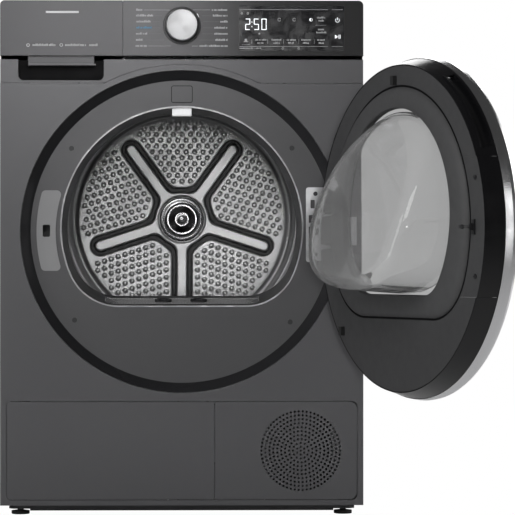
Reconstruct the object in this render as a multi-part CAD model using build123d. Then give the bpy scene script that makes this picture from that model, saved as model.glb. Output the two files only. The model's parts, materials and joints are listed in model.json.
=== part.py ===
from build123d import *
import math
import os

# ------------------------------------------------------------------
# Free-standing front-loading heat-pump clothes dryer, millimetres.
# +X viewer's right, +Y into the machine, +Z up. The model is laid out
# with Y = 0 at the front panel, then moved back so that the origin is
# on the floor under the middle of the cabinet. The door is modelled
# shut and then turned to its rest position, standing open.
# ------------------------------------------------------------------

# cabinet
W, H, DEPTH = 595.0, 845.0, 600.0
HW = W / 2
SHEET = 1.0
BASE_Z = 7.0               # underside of the base housing
PANEL_Z0 = 18.0            # lower edge of the front and side panels
TRIM_Z0, TRIM_Z1 = 709.9, 748.3
FASCIA_Z0 = 754.6
FASCIA_Y = -2.0            # front face of the control fascia
DRAWER_X = -96.7           # joint between drawer front and fascia

# door recess and opening
REC_Z, REC_R, REC_FLOOR = 466.6, 265.6, 24.0
OPEN_Z, OPEN_R, OPEN_FLAT = 473.2, 197.8, 345.0
THROAT_Y = 92.0

# door
DOOR_Z = 467.4
DOOR_OPEN = 115.0          # opening angle at rest
HX, HY = 258.0, -26.0      # hinge axis
DOOR_R_IN, DOOR_R_OUT = 251.5, 263.9
DOOR_FACE = 14.0           # inner face when shut
PIN_R = 2.5
ARM_Z = (440.0, 496.0)
ARM_T = 6.0
SIDE_H = 102.5             # half height of the latch-side cover

# drum
DRUM_Z, DRUM_R = 495.0, 282.0
DRUM_Y0, DRUM_Y1 = 100.0, 500.0
SHAFT_R = 12.5

# drive
MOTOR_X, MOTOR_Z = 150.0, 130.0
PULLEY_R = 9.0
ROLLER_R = 25.0
ROLLER_ANG = 32.0
RUN = 0.05                 # radial running clearance

# kick panel
KICK_X0, KICK_X1, KICK_Z0, KICK_Z1, KICK_SEAM = -286.5, 286.9, 27.5, 188.0, 53.8
GRILLE_X, GRILLE_Z, GRILLE_R = 194.8, 107.3, 69.6
FLAP_AXIS_Y, FLAP_AXIS_Z = 4.0, 36.0

# controls
KNOB_X, KNOB_Z, KNOB_R = 0.0, 803.7, 28.0

os.makedirs("parts", exist_ok=True)
ORIGIN = Pos(0, -DEPTH / 2, 0)


def box(x0, x1, y0, y1, z0, z1):
    return Pos((x0 + x1) / 2, (y0 + y1) / 2, (z0 + z1) / 2) * Box(x1 - x0, y1 - y0, z1 - z0)


def ycyl(r, y0, y1, x, z):
    return Pos(x, (y0 + y1) / 2, z) * Rot(90, 0, 0) * Cylinder(r, y1 - y0)


def zcyl(r, z0, z1, x, y):
    return Pos(x, y, (z0 + z1) / 2) * Cylinder(r, z1 - z0)


def xcyl(r, x0, x1, y, z):
    return Pos((x0 + x1) / 2, y, z) * Rot(0, 90, 0) * Cylinder(r, x1 - x0)


def ext(sk, y0, y1):
    """A sketch drawn in X, Z, extruded from y0 to y1."""
    return extrude(Plane.XZ.offset(-y1) * sk, amount=y1 - y0)


def rev(pts, cx, cz):
    """A closed profile of (radius, y) points, turned about the Y axis through cx, cz."""
    f = Face(Wire.make_polygon([Vector(cx + r, y, cz) for r, y in pts], close=True))
    return revolve(f, axis=Axis((cx, 0, cz), (0, 1, 0)), revolution_arc=360)


def ring(r0, r1, y0, y1, cx, cz):
    return ycyl(r1, y0, y1, cx, cz) - ycyl(r0, y0 - 1, y1 + 1, cx, cz)


def rect(x0, x1, z0, z1, r=0.0):
    s = Rectangle(x1 - x0, z1 - z0) if r <= 0 else RectangleRounded(x1 - x0, z1 - z0, r)
    return Pos((x0 + x1) / 2, (z0 + z1) / 2) * s


def outline(d=0.0, r=OPEN_R, flat=OPEN_FLAT, fil=85.0):
    """The door opening: a circle with a flat bottom and large corner radii."""
    s = Pos(0, OPEN_Z) * Circle(r + d) & rect(-400, 400, flat - d, 1200)
    return fillet(s.vertices(), fil + d)


def root(d=0.0):
    """The bowl's outline where it leaves the door's inner face."""
    s = Pos(0, 488.0) * Circle(163.0 + d) & rect(-400, 400, 367.0 - d, 1200)
    return fillet(s.vertices(), 55.0 + d)


def save(node, *solids):
    shape = solids[0] if len(solids) == 1 else Compound(children=[s for s in solids])
    shape = ORIGIN * shape
    shape.label = node
    export_step(shape, f"parts/{node}.step")


# ------------------------------------------------------------------ cabinet
def side_panel(s):
    x0, x1 = HW - SHEET, HW
    win = (70.0, 560.0, 90.0, 760.0)
    body = box(x0, x1, 20, 598.6, PANEL_Z0, 824)
    body -= box(x0 - 1, x1 + 1, win[0], win[1], win[2], win[3])
    step = box(x0 - 0.8, x1 - 0.8, win[0] - 2, win[1] + 2, win[2] - 2, win[3] + 2)
    body += step
    body += box(x0 - 16, x0 + 0.2, 20, 21, PANEL_Z0, 745)
    body += box(x0 - 16, x0 + 0.2, 597.6, 598.6, PANEL_Z0, 824)
    body += box(x0 - 9.5, x0 + 0.2, 20, 598.6, PANEL_Z0, PANEL_Z0 + 1)
    return body if s > 0 else mirror(body, about=Plane.YZ)


save("side_panel_right", side_panel(1))
save("side_panel_left", side_panel(-1))

top = box(-HW, HW, 20, DEPTH, 824.2, H)
top = fillet(top.edges().filter_by(Axis.Y).group_by(Axis.Z)[-1], 8)
top = fillet(top.edges().filter_by(Axis.X).group_by(Axis.Z)[-1].group_by(Axis.Y)[-1], 5)
top -= box(-HW + 5, HW - 5, 25, DEPTH - 5, 820, H - 4)
top += box(-HW + 5, HW - 5, 300, 303, 828, H - 3)
save("worktop", top)

back = box(-296.2, 296.2, 598.8, 599.8, PANEL_Z0, 823.8)
for i in range(9):
    back -= box(120, 250, 590, 605, 60 + 14 * i, 66 + 14 * i)
for i in range(9):
    back -= box(-60, 60, 590, 605, 660 + 12 * i, 665 + 12 * i)
back -= ycyl(9.5, 590, 605, -240, 150)
back -= ycyl(10.5, 590, 605, 262, 216)
back += ring(212, 216, 599.0, 601.6, 0, 420) + ring(160, 164, 599.0, 601.6, 0, 420)
save("rear_panel", back)

bars = [
    box(-96, 295, 40, 62, 800, 801.5) + box(-96, 295, 40, 41.5, 800, 822) + box(-96, 295, 60.5, 62, 800, 822),
    box(-295, 295, 560, 585, 800, 801.5) + box(-295, 295, 560, 561.5, 800, 822) + box(-295, 295, 583.5, 585, 800, 822),
]
save("top_crossbars", *bars)

trim_shape = rect(-HW + 0.3, HW - 0.3, TRIM_Z0, TRIM_Z1) - Pos(0, REC_Z) * Circle(274.0)
inner = [v for v in trim_shape.vertices() if abs(v.Y - TRIM_Z0) < 0.1 and abs(v.X) < 200]
trim_shape = fillet(inner, 26)
pocket = (-267.9, -127.8, 714.0)
pocket_sk = rect(pocket[0], pocket[1], pocket[2], 790, 9)
well = ext(rect(pocket[0] - 2, pocket[1] + 2, pocket[2] - 2, TRIM_Z1, 0), 2, 23.4)
trim = ext(trim_shape, 0, 3) + box(-HW + 0.3, HW - 0.3, 0, 19.6, TRIM_Z1 - 2, TRIM_Z1) + well
for s in (-1, 1):
    trim += box(min(s * (HW - 0.3), s * (HW - 2.3)), max(s * (HW - 0.3), s * (HW - 2.3)), 0, 19.6, TRIM_Z0, TRIM_Z1)
trim -= ext(pocket_sk, -1, 21.4)
save("upper_trim", trim)

front_sk = rect(-HW, HW, PANEL_Z0, TRIM_Z1 - 0.2, 2) - Pos(0, REC_Z) * Circle(REC_R)
front_sk -= rect(KICK_X0 - 0.8, KICK_X1 + 0.8, KICK_Z0 - 0.8, KICK_Z1 + 0.8, 8.8)
front_sk -= rect(-HW - 1, HW + 1, TRIM_Z0 - 0.5, TRIM_Z1 + 5) - Pos(0, REC_Z) * Circle(273.5)
front = ext(front_sk, 0, 1.2)
for s in (-1, 1):
    front += box(min(s * HW, s * (HW - 1)), max(s * HW, s * (HW - 1)), 0.5, 19.6, PANEL_Z0, TRIM_Z0 - 1)
front += box(-HW, HW, 0.5, 18, PANEL_Z0, PANEL_Z0 + 1)
front -= ext(trim_shape, -1, 30)
save("front_panel", front)

save("door_surround", rev([(265.4, 0), (264.3, 0), (249.0, 23.8), (252.2, 23.8), (264.0, 5.4), (265.4, 5.4)], 0, REC_Z))

# front bulkhead: recess floor, throat, lint filter housing, drum collar and roller pins
plate = ext(rect(-280, 280, 200, 706, 20) + Pos(0, REC_Z) * Circle(266), REC_FLOOR, 27)
throat_in = loft([Plane.XZ.offset(-REC_FLOOR + 1) * outline(),
                  Plane.XZ.offset(-THROAT_Y - 1) * outline(0, 191.0, 360.0, 80.0)])
throat_out = loft([Plane.XZ.offset(-REC_FLOOR - 1) * outline(3.2),
                   Plane.XZ.offset(-THROAT_Y) * outline(3, 191.0, 360.0, 80.0)])
collar = ring(240, 243, 26, 96, 0, DRUM_Z) + ring(240, 258, 93, 96.2, 0, DRUM_Z)
housing = box(-131, 131, 26, 78, 212, 352)
bulk = plate + housing
collar -= box(-131, 131, 20, 78, 205, 360) + box(-300, 300, 20, 27, 200, 800)
rollers = []
for s in (-1, 1):
    a = math.radians(-90 + s * ROLLER_ANG)
    rd = DRUM_R + ROLLER_R + 0.3
    rx, rz = rd * math.cos(a), DRUM_Z + rd * math.sin(a)
    rollers.append((rx, rz))
    bulk += ycyl(10, 26, 107.5, rx, rz) + ycyl(4, 100, 130, rx, rz)
bulk += throat_out
bulk -= box(-128, 128, 34.5, 76, 205, 372)
bulk -= throat_in
bulk -= box(-232, -214, 20, 30, 452, 484)
bulk -= box(-17, 17, 28, 48, 655, 678)
bulk -= box(-241, -205, 27, 63, 435, 501)
bulk -= ring(258.5, 300, 27.5, 97, 0, DRUM_Z) & box(-100, 100, 27.5, 97, 700, 800)
collar -= box(-241, -205, 27, 63, 435, 501)
for rx, rz in rollers:
    collar -= ycyl(10.2, 20, 107.5, rx, rz)
save("front_bulkhead", bulk, collar)

lip = ext(outline(2.6) - outline(0.05), 22.4, 24.0)
save("opening_lip", lip)

lens = box(-16, 16, 30, 46, 658, 674) & ycyl(OPEN_R + 1.5, 28, 50, 0, OPEN_Z)
save("drum_lamp_lens", lens)
save("lamp_cover", ext(rect(-17.2, 17.2, 679.3, 706.8, 3), 23.3, 24.0))

band = Pos(0, REC_Z) * (Circle(239.2) - Circle(207.7)) & rect(-260, -150, 402, 534.6)
band = fillet(band.vertices(), 7)
latch_hole = rect(-229, -217, 458, 478, 2.5)
save("latch_plate", ext(band - latch_hole, 22.7, 24.0))

lock = box(-240, -206, 27.2, 62, 436, 500) - box(-231, -215, 20, 52, 454, 482)
save("door_lock", lock)

hp = ext(rect(204.5, 236, 416.6, 539.5, 4), 21.6, 24.0)
hp -= ext(rect(209, 224, 462, 475, 1.5), 20, 25) + ext(rect(209, 224, 481, 494, 1.5), 20, 25)
hp -= ext(rect(212, 219, 505, 519, 1), 20, 25)
arm_dir = Vector(224 - HX, 22.8 - HY, 0)
arm_len = arm_dir.length
arm_ang = math.degrees(math.atan2(arm_dir.Y, arm_dir.X))
for z in ARM_Z:
    bar = Pos(HX, HY, z) * Rot(0, 0, arm_ang) * Pos(arm_len / 2, 0, 0) * Box(arm_len, 5.6, ARM_T)
    hp += bar + zcyl(4.5, z - ARM_T / 2, z + ARM_T / 2, HX, HY)
    hp += box(216, 232, 14, 22, z - ARM_T / 2, z + ARM_T / 2)
for z in ARM_Z:
    hp -= zcyl(PIN_R, z - 10, z + 10, HX, HY)
hp -= box(190, 250, 24.0, 40, 400, 560)
save("hinge_plate", hp)
save("hinge_pin", zcyl(PIN_R, ARM_Z[0] - ARM_T / 2 - 2, ARM_Z[1] + ARM_T / 2 + 2, HX, HY))

# control fascia, window, board
def fascia_shell(x0, x1, side):
    sk = rect(x0, x1, FASCIA_Z0, H)
    corner = [v for v in sk.vertices() if abs(v.Y - H) < 0.1 and abs(v.X - (x1 if side > 0 else x0)) < 0.1]
    sk = fillet(corner, 8)
    f = ext(sk, FASCIA_Y, 19.6)
    f = fillet([e for e in f.edges().group_by(Axis.Y)[0] if abs(e.center().Z - FASCIA_Z0) > 0.5
                and abs(e.center().X - (x0 if side > 0 else x1)) > 0.5], 1.2)
    return f - box(x0 + 2.5, x1 - 2.5, FASCIA_Y + 2.8, 30, FASCIA_Z0 + 2.5, H - 3.5)


WIN = (93.5, 266.0, 763.0, 836.5)
fascia = fascia_shell(DRAWER_X + 0.3, HW, 1)
fascia += ring(3.2, 12, FASCIA_Y + 1, 6, KNOB_X, KNOB_Z)
fascia -= ycyl(3.4, -10, 30, KNOB_X, KNOB_Z)
fascia -= ext(rect(WIN[0] - 0.1, WIN[1] + 0.1, WIN[2] - 0.1, WIN[3] + 0.1, 1.5), FASCIA_Y - 1, FASCIA_Y + 1.6)
fascia -= ext(rect(WIN[0] + 3, WIN[1] - 3, WIN[2] + 3, WIN[3] - 3, 1.5), FASCIA_Y - 1, 4)
save("control_fascia", fascia)
save("display_window", ext(rect(WIN[0], WIN[1], WIN[2], WIN[3], 1.5), FASCIA_Y, FASCIA_Y + 1.5))
board = box(-60, 274, 24, 25.6, 768, 822)
board += ycyl(7, 10, 24.5, KNOB_X, KNOB_Z) + ycyl(3, -14, 12, KNOB_X, KNOB_Z)
board += box(110, 200, 14, 24.5, 780, 820) + box(225, 245, 12, 24.5, 776, 800)
board += box(40, 80, 25, 36, 780, 800) + box(150, 190, 25, 34, 785, 815)
save("control_board", board)

tray = box(-292, -99, 24, 515, 770, 822) - box(-290.5, -100.5, 20, 513.5, 771.5, 830)
save("tank_housing", tray)

# ------------------------------------------------------------------ base
base = box(-285, 285, 30, 585, BASE_Z, 14)
base = chamfer(base.edges().filter_by(Axis.Z).group_by(Axis.Y)[0], 8)
base += box(-285, -281, 40, 585, 13, 70) + box(281, 285, 40, 585, 13, 70)
base += box(-285, 285, 581, 585, 13, 44) + box(-277, 277, 30, 34, 8, 22)
base += box(-8, -4, 44, 300, 13, 180) + box(-279, -275, 44, 300, 13, 180)
base += box(-279, -4, 296, 300, 13, 60) + box(-279, -4, 176, 180, 13, 18)
for x in (-267, 267):
    for y in (52, 555):
        base += zcyl(11, 13, 30, x, y)
        base -= zcyl(5.3, 0, 40, x, y)
base += box(140, 260, 110, 230, 13, 19) + box(110, 190, 350, 415, 13, 30)
for x0, x1 in ((-286, -250), (250, 286)):
    # shallow corner pockets round the feet
    base -= box(x0, x1, 29, 70, 5, 10) + box(x0, x1, 537, 586, 5, 10)
save("base_housing", base)

feet = []
for x in (-267, 267):
    for y in (52, 555):
        pad = zcyl(15, 0, 5.5, x, y)
        pad = fillet(pad.edges().group_by(Axis.Z)[0], 1.5)
        feet.append(pad + zcyl(5, 5, 34, x, y) + extrude(Pos(x, y, 4.5) * RegularPolygon(9.5, 6), 2.0))
save("levelling_feet", *feet)

grille = ext(rect(KICK_SEAM + 0.4, KICK_X1, KICK_Z0, KICK_Z1, 0), 0, 3)
grille = fillet(grille.edges().filter_by(Axis.Y).group_by(Axis.X)[-1], 8)
grille += box(KICK_SEAM + 2, KICK_X1 - 4, 2.5, 16, KICK_Z0 + 4, KICK_Z0 + 6.5)
grille += box(KICK_SEAM + 2, KICK_X1 - 4, 2.5, 16, KICK_Z1 - 6.5, KICK_Z1 - 4)
grille += box(KICK_X1 - 6.5, KICK_X1 - 4, 2.5, 16, KICK_Z0 + 4, KICK_Z1 - 4)
holes = [(0.0, 0.0)]
for k in (1, 2, 3):
    for i in range(6 * k):
        a = 2 * math.pi * i / (6 * k)
        holes.append((19.5 * k * math.cos(a), 19.5 * k * math.sin(a)))
cut = ext(Sketch() + [Pos(GRILLE_X + u, GRILLE_Z + v) * Circle(6.5) for u, v in holes], -1, 4)
grille -= cut
save("grille_panel", grille)

flap = ext(rect(KICK_X0, KICK_SEAM - 0.4, KICK_Z0, KICK_Z1, 0), 0, 3)
flap = fillet(flap.edges().filter_by(Axis.Y).group_by(Axis.X)[0], 8)
flap += box(KICK_X0 + 10, KICK_SEAM - 3, 2.5, 12, KICK_Z1 - 8, KICK_Z1 - 5.5)
flap += box(KICK_X0 + 10, KICK_X0 + 12.5, 2.5, 12, KICK_Z0 + 18, KICK_Z1 - 5.5)
flap += box(KICK_SEAM - 5.5, KICK_SEAM - 3, 2.5, 12, KICK_Z0 + 18, KICK_Z1 - 5.5)
for x in (-270, -120, 36):
    flap += xcyl(3.6, x, x + 14, FLAP_AXIS_Y + 3.4, FLAP_AXIS_Z) + box(x, x + 14, 2.5, FLAP_AXIS_Y + 3.4, FLAP_AXIS_Z - 3.6, FLAP_AXIS_Z + 3.6)
save("service_flap", flap)

# ------------------------------------------------------------------ heat pump
def coil(y0, y1):
    parts = box(-262, -260, y0, y1, 20, 168) + box(-24, -22, y0, y1, 20, 168)
    n = 22
    for i in range(n):
        x = -250 + i * (228 - 6) / (n - 1) * 1.0
        parts += box(x - 0.9, x + 0.9, y0 + 2, y1 - 2, 22, 166)
    for z in (45, 80, 115, 148):
        for y in (y0 + 0.25 * (y1 - y0), y0 + 0.75 * (y1 - y0)):
            parts += xcyl(4.5, -268, -14, y, z)
    return parts


save("evaporator", coil(66, 154))
save("condenser", coil(186, 286))

comp = zcyl(55, 24, 168, 200, 170)
comp = fillet(comp.edges().filter_by(GeomType.CIRCLE), 14)
comp += zcyl(9, 160, 182, 200, 170) + zcyl(22, 40, 140, 118, 170) + box(118, 160, 166, 174, 80, 100)
comp += box(150, 250, 120, 220, 19, 26)
save("compressor", comp)

pump = zcyl(24, 14, 52, -180, 430) + box(-210, -150, 400, 460, 14, 20) + zcyl(8, 50, 70, -180, 430)
pump += xcyl(6, -205, -178, 430, 60)
save("condensate_pump", pump)

motor = ycyl(52, 335, 431, MOTOR_X, MOTOR_Z)
motor = fillet(motor.edges().filter_by(GeomType.CIRCLE), 8)
motor += box(MOTOR_X - 30, MOTOR_X + 30, 352, 412, 30, 90)
motor -= ycyl(6 + RUN, 400, 440, MOTOR_X, MOTOR_Z)
save("drive_motor", motor)

# ------------------------------------------------------------------ rear bulkhead, duct and belt
rb = box(-279, 279, 520, 521.5, 60, 798)
rb -= ycyl(88, 500, 540, MOTOR_X, MOTOR_Z)
for k in range(5):
    a0 = math.radians(90 + 72 * k)
    for r in (80, 120, 160):
        for d in (-18, 0, 18):
            a = a0 + math.radians(d)
            rb -= ycyl(11, 510, 530, r * math.cos(a), DRUM_Z + r * math.sin(a))
rb += ycyl(34, 508, 521, 0, DRUM_Z)
rb -= ycyl(SHAFT_R + RUN, 500, 560, 0, DRUM_Z)
save("rear_bulkhead", rb)

duct_sk = Pos(0, DRUM_Z) * Circle(198) + Pos(MOTOR_X, MOTOR_Z) * Circle(84)
duct_sk += Polygon((-150, 400), (66, 120), (234, 130), (190, 440), align=None)
duct = ext(duct_sk, 522, 572)
inner_sk = Pos(0, DRUM_Z) * Circle(195) + Pos(MOTOR_X, MOTOR_Z) * Circle(81)
inner_sk += Polygon((-144, 402), (69, 126), (230, 134), (186, 438), align=None)
duct -= ext(inner_sk, 520, 569.5)
duct += ring(81, 84, 462, 523, MOTOR_X, MOTOR_Z) + ring(45, 82, 462, 464.5, MOTOR_X, MOTOR_Z)
save("rear_air_duct", duct)

seals = [ring(241, 257, 96.4, 99.7, 0, DRUM_Z), ring(262, 276, 503.6, 519.8, 0, DRUM_Z)]
save("drum_felt_seals", *seals)


def belt_outline(d):
    """The open belt line round the drum and the motor pulley, d outside both."""
    R, r = DRUM_R + d, PULLEY_R + d
    dx, dz = MOTOR_X, MOTOR_Z - DRUM_Z
    L = math.hypot(dx, dz)
    base_a = math.atan2(dz, dx)
    off = math.acos((R - r) / L)
    pts = []
    for s in (1, -1):
        a = base_a + s * off
        pts.append(((R * math.cos(a), DRUM_Z + R * math.sin(a)),
                    (MOTOR_X + r * math.cos(a), MOTOR_Z + r * math.sin(a))))
    (p1, q1), (p2, q2) = pts
    far = (-R * math.cos(base_a), DRUM_Z - R * math.sin(base_a))
    near = (MOTOR_X + r * math.cos(base_a), MOTOR_Z + r * math.sin(base_a))
    e = [ThreePointArc(p1, far, p2), Line(p2, q2), ThreePointArc(q2, near, q1), Line(q1, p1)]
    return make_face(Curve() + e)


save("drive_belt", ext(belt_outline(2.2) - belt_outline(0.4), 441, 451))

# ------------------------------------------------------------------ rear fittings and screws
gland = ycyl(15, 599.9, 604, 262, 216) + ycyl(10, 592, 612, 262, 216)
gland -= ycyl(4.2, 580, 620, 262, 216)
save("mains_gland", gland)
spigot = ycyl(8, 599.9, 624, -240, 150) + ycyl(9, 590, 600, -240, 150) + ycyl(14, 599.9, 602.5, -240, 150)
spigot -= ycyl(5.5, 580, 630, -240, 150)
save("drain_spigot", spigot)

screws = []
for x, z in ((-181.6, 603.5), (181.3, 604.3), (-176.5, 321.0), (178.4, 317.8)):
    screws.append(ycyl(4.2, 22.8, 24.0, x, z))
for x, z in ((220, 529), (220, 427)):
    screws.append(ycyl(3.6, 20.2, 21.6, x, z) - box(x - 2.4, x + 2.4, 19, 20.9, z - 0.5, z + 0.5))
for x in (-280, -140, 140, 280):
    for z in (30, 812):
        screws.append(ycyl(4, 599.8, 601.8, x, z) - box(x - 2.6, x + 2.6, 601, 603, z - 0.5, z + 0.5))
save("cabinet_screws", *screws)

# ------------------------------------------------------------------ drum
shell = ring(DRUM_R - 1.2, DRUM_R, DRUM_Y0, DRUM_Y1 + 3, 0, DRUM_Z) + ring(240, DRUM_R - 0.5, DRUM_Y0, DRUM_Y0 + 1.2, 0, DRUM_Z)
shell += ring(240, 242, DRUM_Y0, DRUM_Y0 + 6, 0, DRUM_Z)
save("drum_shell", shell)

plate_sk = Circle(DRUM_R - 1.4) - Circle(SHAFT_R)
bp = ext(Pos(0, DRUM_Z) * plate_sk, DRUM_Y1, DRUM_Y1 + 3)
for k in range(5):
    mid = 90 + 72 * k
    # a wedge between two spokes, set back behind the spoke faces
    wedge = Circle(187) - Circle(62)
    for s in (-1, 1):
        sp = math.radians(mid + s * 36)
        wedge -= Rot(0, 0, math.degrees(sp)) * Pos(110, 0) * Rectangle(260, 36)
    keep = Rot(0, 0, mid) * Pos(150, 0) * Rectangle(300, 260)
    wedge = wedge & keep
    sect = [f for f in wedge.faces() if abs((math.degrees(math.atan2(f.center().Y, f.center().X)) - mid + 180) % 360 - 180) < 20]
    bp -= ext(Pos(0, DRUM_Z) * (Sketch() + sect), DRUM_Y1 - 1, DRUM_Y1 + 1.6)
save("drum_back_plate", bp)

hub = rev([(0, 487.5), (6.5, 487.5), (7.3, 489), (12, 493.5), (28, 496.5), (30, 498.6), (41.4, 499.2), (41.4, 500), (0, 500)], 0, DRUM_Z)
save("hub_cap", hub)
shaft = ycyl(SHAFT_R, DRUM_Y1 + 0.05, 548, 0, DRUM_Z) + ycyl(30, 503.05, 507, 0, DRUM_Z)
save("drum_shaft", shaft)

lifters = []
for k in range(3):
    prof = Polygon((-34, 0), (34, 0), (14, 50), (-14, 50), align=None)
    ch = math.sqrt((DRUM_R - 1.6) ** 2 - 34 ** 2)
    sk = Rot(0, 0, 120 * k) * Pos(0, -ch) * prof
    one = ext(Pos(0, DRUM_Z) * sk, 130, 485)
    lifters.append(fillet(one.edges().filter_by(Axis.Y), 6) if False else one)
save("drum_lifters", *lifters)

# ------------------------------------------------------------------ motor rotor, rollers
pul = ycyl(6, 402, 512, MOTOR_X, MOTOR_Z) + ycyl(PULLEY_R, 438, 454, MOTOR_X, MOTOR_Z)
pul += ycyl(12, 437, 440, MOTOR_X, MOTOR_Z) + ycyl(12, 452, 455, MOTOR_X, MOTOR_Z)
save("motor_pulley", pul)
fan = ycyl(70, 506, 508, MOTOR_X, MOTOR_Z) + ring(66, 70, 470, 473, MOTOR_X, MOTOR_Z) + ycyl(14, 480, 507, MOTOR_X, MOTOR_Z)
for i in range(20):
    blade = Pos(MOTOR_X, 0, MOTOR_Z) * Rot(0, 18 * i, 0) * Pos(60, 489, 0) * Rot(0, 35, 0) * Box(17, 37, 1.6)
    fan += blade
fan -= ycyl(6, 460, 520, MOTOR_X, MOTOR_Z)
save("fan_impeller", fan)
for name, (rx, rz) in zip(("front_roller_left", "front_roller_right"), rollers):
    r = ring(4 + RUN, ROLLER_R, 109, 127, rx, rz) - ring(10, ROLLER_R - 4, 108, 111, rx, rz) - ring(10, ROLLER_R - 4, 125, 128, rx, rz)
    save(name, r)

# ------------------------------------------------------------------ knob
knob = rev([(0, -23), (24.5, -23), (26.5, -21.5), (KNOB_R, -18), (KNOB_R, -3.2), (25, -2.6), (12, -2.6), (12, -6), (0, -6)], KNOB_X, KNOB_Z)
knob -= ycyl(3 + RUN, -15, 0, KNOB_X, KNOB_Z)
knob += ring(3 + RUN, 7, -12, -3, KNOB_X, KNOB_Z)
save("programme_knob", knob)

# ------------------------------------------------------------------ condensate tank drawer
df = fascia_shell(-HW, DRAWER_X - 0.3, -1)
df += box(-252, -144, 7.5, 10.5, 738, FASCIA_Z0 + 3) + box(-252, -144, 0, 10.5, FASCIA_Z0, FASCIA_Z0 + 3)
save("drawer_front", df)
tank = box(-289, -102, 19.7, 496, 772.2, 818)
tank = fillet(tank.edges().filter_by(Axis.Y), 6)
tank -= box(-286.6, -104.4, 22.1, 493.6, 774.6, 815.6)
tank -= box(-225, -165, 430, 480, 810, 830)
save("water_tank", tank)

# ------------------------------------------------------------------ lint filter
def yz_prism(pts, x0, x1):
    f = Face(Wire.make_polygon([Vector(x0, y, z) for y, z in pts], close=True))
    return extrude(f, amount=x1 - x0, dir=(1, 0, 0))


filt = yz_prism([(35.2, 346.3), (75.4, 355.6), (75.4, 352.6), (35.2, 343.3)], -127, 127)
filt += box(-122, 122, 44, 68, 222, 349)
filt -= box(-119.5, 119.5, 46, 66, 224.5, 360)
for s in (-1, 1):
    filt -= box(min(s * 8, s * 112), max(s * 8, s * 112), 43.5, 45, 236, 336)
    filt -= box(min(s * 8, s * 112), max(s * 8, s * 112), 67, 68.5, 236, 336)
filt += box(-4, 4, 44, 68, 222, 348)
save("lint_filter", filt)

# ------------------------------------------------------------------ door, modelled shut
def dome(r, y_edge, y_mid, t):
    """A spherical cap of thickness t, bulging towards the viewer."""
    sag = y_edge - y_mid
    R = (r * r + sag * sag) / (2 * sag)
    ball = Pos(0, y_mid + R, DOOR_Z) * Sphere(R)
    blank = ycyl(r, y_mid - 5, y_edge + t, 0, DOOR_Z)
    return (blank & ball) - Pos(0, t, 0) * ball


rim_full = rev([(DOOR_R_IN, 14), (261.0, -15.6), (261.0, -36.4), (240, -36.4), (240, -34.0), (257.8, -34.0),
                (257.8, -15.2), (249.6, 10.6), (249.8, 14)], 0, DOOR_Z)
face_full = ext(Pos(0, DOOR_Z) * Circle(249.5), 11, DOOR_FACE)
face_full -= ext(root(0.4), 5, 20)

arm_slots = box(200, 300, -32.5, 20, ARM_Z[0] - ARM_T / 2 - 1.2, ARM_Z[0] + ARM_T / 2 + 1.2) + box(200, 300, -32.5, 20, ARM_Z[1] - ARM_T / 2 - 1.2, ARM_Z[1] + ARM_T / 2 + 1.2)
arm_slots = arm_slots & zcyl(59, 400, 560, HX, HY)
notch = box(252.5, 300, -32.5, -14.5, ARM_Z[0] - 7.5, ARM_Z[1] + 7.5)
hinge_gap = box(240, 300, -32.5, 20, ARM_Z[0] - 7.5, ARM_Z[1] + 7.5)

side_box = box(-300, -120, -15.4, 20, DOOR_Z - SIDE_H, DOOR_Z + SIDE_H)
side_gap = box(-300, -120, -15.6, 21, DOOR_Z - SIDE_H - 0.25, DOOR_Z + SIDE_H + 0.25)
beyond = box(-300, 0, -60, 30, 200, 760) - ext(outline(12.4), -61, 31)
beyond_gap = box(-300, 0, -60, 30, 200, 760) - ext(outline(12.15), -61, 31)

rim = rim_full - hinge_gap - (side_gap & beyond_gap)
# handle scoop in the edge, upper part of the free side
scoop = ring(253.5, 275, -13.5, 3.5, 0, DOOR_Z)
wedge_sk = Polygon((0, 0), (400 * math.cos(math.radians(118)), 400 * math.sin(math.radians(118))),
                   (400 * math.cos(math.radians(136)), 400 * math.sin(math.radians(136))),
                   (400 * math.cos(math.radians(153)), 400 * math.sin(math.radians(153))), align=None)
scoop = scoop & ext(Pos(0, DOOR_Z) * wedge_sk, -30, 30)
pocket_wall = ring(250.6, 258.0, -15.4, 5.5, 0, DOOR_Z) & ext(Pos(0, DOOR_Z) * wedge_sk, -30, 30)
rim = rim + pocket_wall - scoop
frame_in = face_full - arm_slots - (side_gap & beyond_gap)
cover = (rim_full + face_full + ring(245, 250.6, 11, DOOR_FACE, 0, DOOR_Z)) & side_box & beyond
cover = Part() + [s for s in cover.solids() if s.volume > 50]

chrome = rev([(261.9, -15.9), (263.9, -27.5), (263.2, -33.5), (260.0, -38.5), (255.0, -41.0), (249.6, -41.6),
              (249.6, -37.2), (254.5, -37.2), (261.2, -36.8), (261.2, -15.9)], 0, DOOR_Z) - notch

glass = dome(249.3, -40.8, -47.5, 3.6)

# bowl: deep at the bottom, sloping up to shallow at the top
def bowl_form(d):
    y0, y1 = 8.2 - 0.5 * (d > 0), DOOR_FACE + 98.0 - d
    body = loft([Plane.XZ.offset(-y0) * root(-d), Plane.XZ.offset(-y1) * root(-d - 11)])
    slope = math.degrees(math.atan2(0.40, 1.0))
    zc, yc = 470.0, DOOR_FACE + 84.0 - d * 1.08
    cutter = Pos(0, yc, zc) * Rot(slope, 0, 0) * Pos(0, 200, 0) * Box(800, 400, 900)
    return body - cutter


outer = bowl_form(0)
tip = [e for e in outer.edges() if e.center().Y > DOOR_FACE + 8]
outer = fillet(tip, 20)
inside = bowl_form(3.6)
tip = [e for e in inside.edges() if e.center().Y > DOOR_FACE + 8]
inside = fillet(tip, 16.4)
bowl = outer - inside
bowl += ext(root(9) - root(-1.6), 8.2, 10.8)

seal = ext(outline(12) - root(2.0), DOOR_FACE, 21.2)
seal = fillet(seal.edges().group_by(Axis.Y)[-1], 3.0)

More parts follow.
